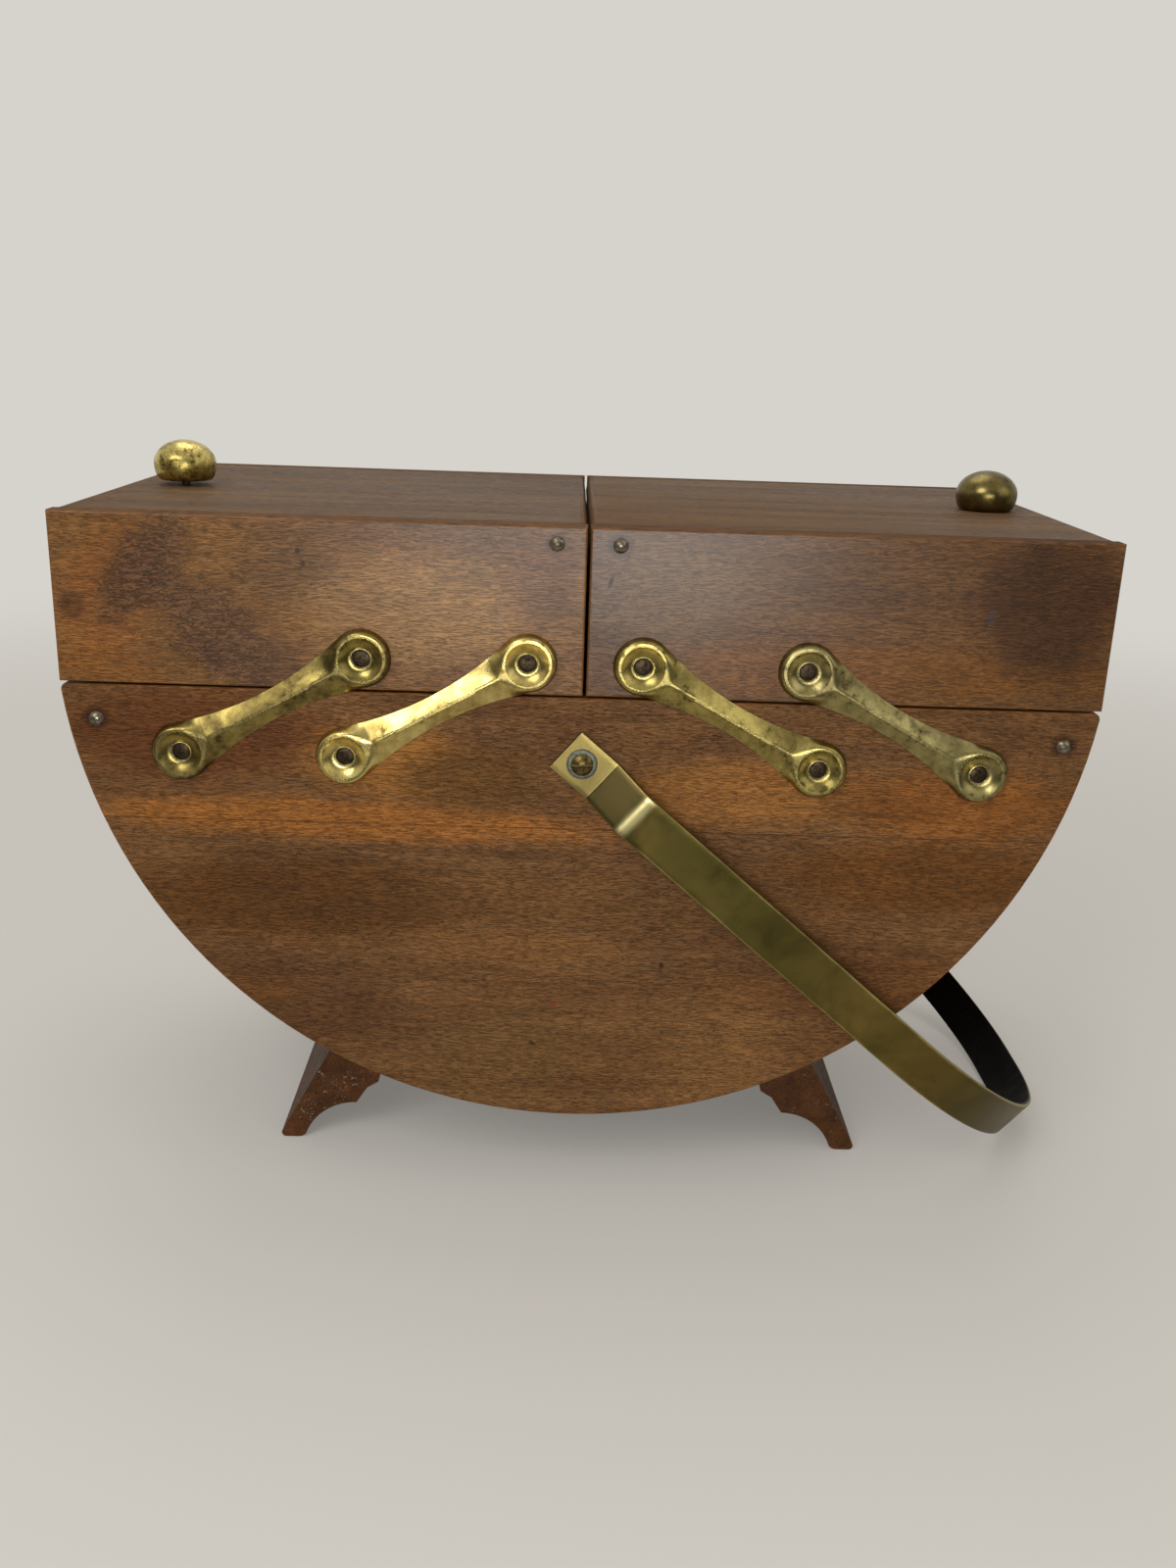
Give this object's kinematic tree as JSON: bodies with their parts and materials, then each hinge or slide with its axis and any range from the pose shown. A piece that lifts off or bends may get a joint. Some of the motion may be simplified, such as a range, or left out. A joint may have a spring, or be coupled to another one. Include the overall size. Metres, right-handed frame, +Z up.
{
  "type": "cantilever sewing box",
  "caption": "Half-round wooden sewing carrier on rail feet, with lidded trays that swing out on pressed brass arms and a folding brass strap handle.",
  "frame": {"origin": "middle of the whole footprint on the floor. The folded handle reaches out to the right, so the centre plane of the box itself is at X = -10.8 mm", "axes": "+X to the right along the trays, +Y to the back, +Z up"},
  "size_m": [0.4216, 0.226, 0.302],
  "materials": {
    "case_wood": "red-brown hardwood under worn satin varnish",
    "lid_wood": "grey-brown hardwood, satin varnish",
    "foot_wood": "red-brown hardwood with pale chips",
    "skin_plywood": "bent plywood, stained red-brown",
    "inside_wood": "plain inside wood, thinly varnished",
    "arm_brass": "pressed bright brass with dark tarnish spots",
    "strap_brass": "dull olive-brown aged brass",
    "knob_brass": "antique dark brass, scratched",
    "nail_steel": "dull plated steel",
    "screw_steel": "darkened steel",
    "washer_steel": "grey zinc-plated steel"
  },
  "bodies": {
    "base": {"base_arm_bushes": "arm_brass", "base_arm_screws": "screw_steel", "base_back_panel": "case_wood", "base_front_panel": "case_wood", "base_nails": "nail_steel", "base_skin": "skin_plywood", "foot_screws": "screw_steel", "handle_screws": "screw_steel", "handle_washers": "washer_steel", "left_end_rail": "inside_wood", "left_foot": "foot_wood", "right_end_rail": "inside_wood", "right_foot": "foot_wood"},
    "left_outer_arms": {"left_outer_arm_front": "arm_brass", "left_outer_arm_back": "arm_brass"},
    "left_inner_arms": {"left_inner_arm_front": "arm_brass", "left_inner_arm_back": "arm_brass"},
    "left_tray": {"left_tray_arm_bushes": "arm_brass", "left_tray_arm_screws": "screw_steel", "left_tray_back": "case_wood", "left_tray_bottom": "inside_wood", "left_tray_front": "case_wood", "left_tray_inner_wall": "inside_wood", "left_tray_outer_wall": "case_wood", "left_lid_pins": "nail_steel"},
    "left_lid": {"left_knob": "knob_brass", "left_knob_screw": "screw_steel", "left_lid_panel": "lid_wood"},
    "right_outer_arms": {"right_outer_arm_front": "arm_brass", "right_outer_arm_back": "arm_brass"},
    "right_inner_arms": {"right_inner_arm_front": "arm_brass", "right_inner_arm_back": "arm_brass"},
    "right_tray": {"right_tray_arm_bushes": "arm_brass", "right_tray_arm_screws": "screw_steel", "right_tray_back": "case_wood", "right_tray_bottom": "inside_wood", "right_tray_front": "case_wood", "right_tray_inner_wall": "inside_wood", "right_tray_outer_wall": "case_wood", "right_lid_pins": "nail_steel"},
    "right_lid": {"right_knob": "knob_brass", "right_knob_screw": "screw_steel", "right_lid_panel": "lid_wood"},
    "handle": {"handle": "strap_brass"}
  },
  "joints": [
    {"name": "left_swing", "type": "hinge", "parent": "base", "child": "left_outer_arms", "pos_m": [-0.16576, 0, 0.19235], "axis": [0, -1, 0], "range_deg": [0, 115.5]},
    {"name": "left_inner_swing", "type": "hinge", "parent": "base", "child": "left_inner_arms", "pos_m": [-0.10273, 0, 0.19235], "axis": [0, -1, 0], "range_deg": [0, 115.5]},
    {"name": "left_tray_level", "type": "hinge", "parent": "left_outer_arms", "child": "left_tray", "pos_m": [-0.0958, 0, 0.23113], "axis": [0, -1, 0], "range_deg": [-115.5, 0]},
    {"name": "left_lid_turn", "type": "hinge", "parent": "left_tray", "child": "left_lid", "pos_m": [-0.02256, 0, 0.27665], "axis": [0, 1, 0], "range_deg": [0, 85]},
    {"name": "right_swing", "type": "hinge", "parent": "base", "child": "right_outer_arms", "pos_m": [0.14424, 0, 0.19235], "axis": [0, 1, 0], "range_deg": [0, 115.5]},
    {"name": "right_inner_swing", "type": "hinge", "parent": "base", "child": "right_inner_arms", "pos_m": [0.0812, 0, 0.19235], "axis": [0, 1, 0], "range_deg": [0, 115.5]},
    {"name": "right_tray_level", "type": "hinge", "parent": "right_outer_arms", "child": "right_tray", "pos_m": [0.07427, 0, 0.23113], "axis": [0, 1, 0], "range_deg": [-115.5, 0]},
    {"name": "right_lid_turn", "type": "hinge", "parent": "right_tray", "child": "right_lid", "pos_m": [0.00104, 0, 0.27665], "axis": [0, -1, 0], "range_deg": [0, 85]},
    {"name": "handle_turn", "type": "hinge", "parent": "base", "child": "handle", "pos_m": [-0.01076, 0, 0.19235], "axis": [0, -1, 0], "range_deg": [0, 261.38]}
  ],
  "couplings": [
    {"joint": "left_inner_swing", "follows": "left_swing", "ratio": 1},
    {"joint": "left_tray_level", "follows": "left_swing", "ratio": -1},
    {"joint": "right_inner_swing", "follows": "right_swing", "ratio": 1},
    {"joint": "right_tray_level", "follows": "right_swing", "ratio": -1}
  ]
}
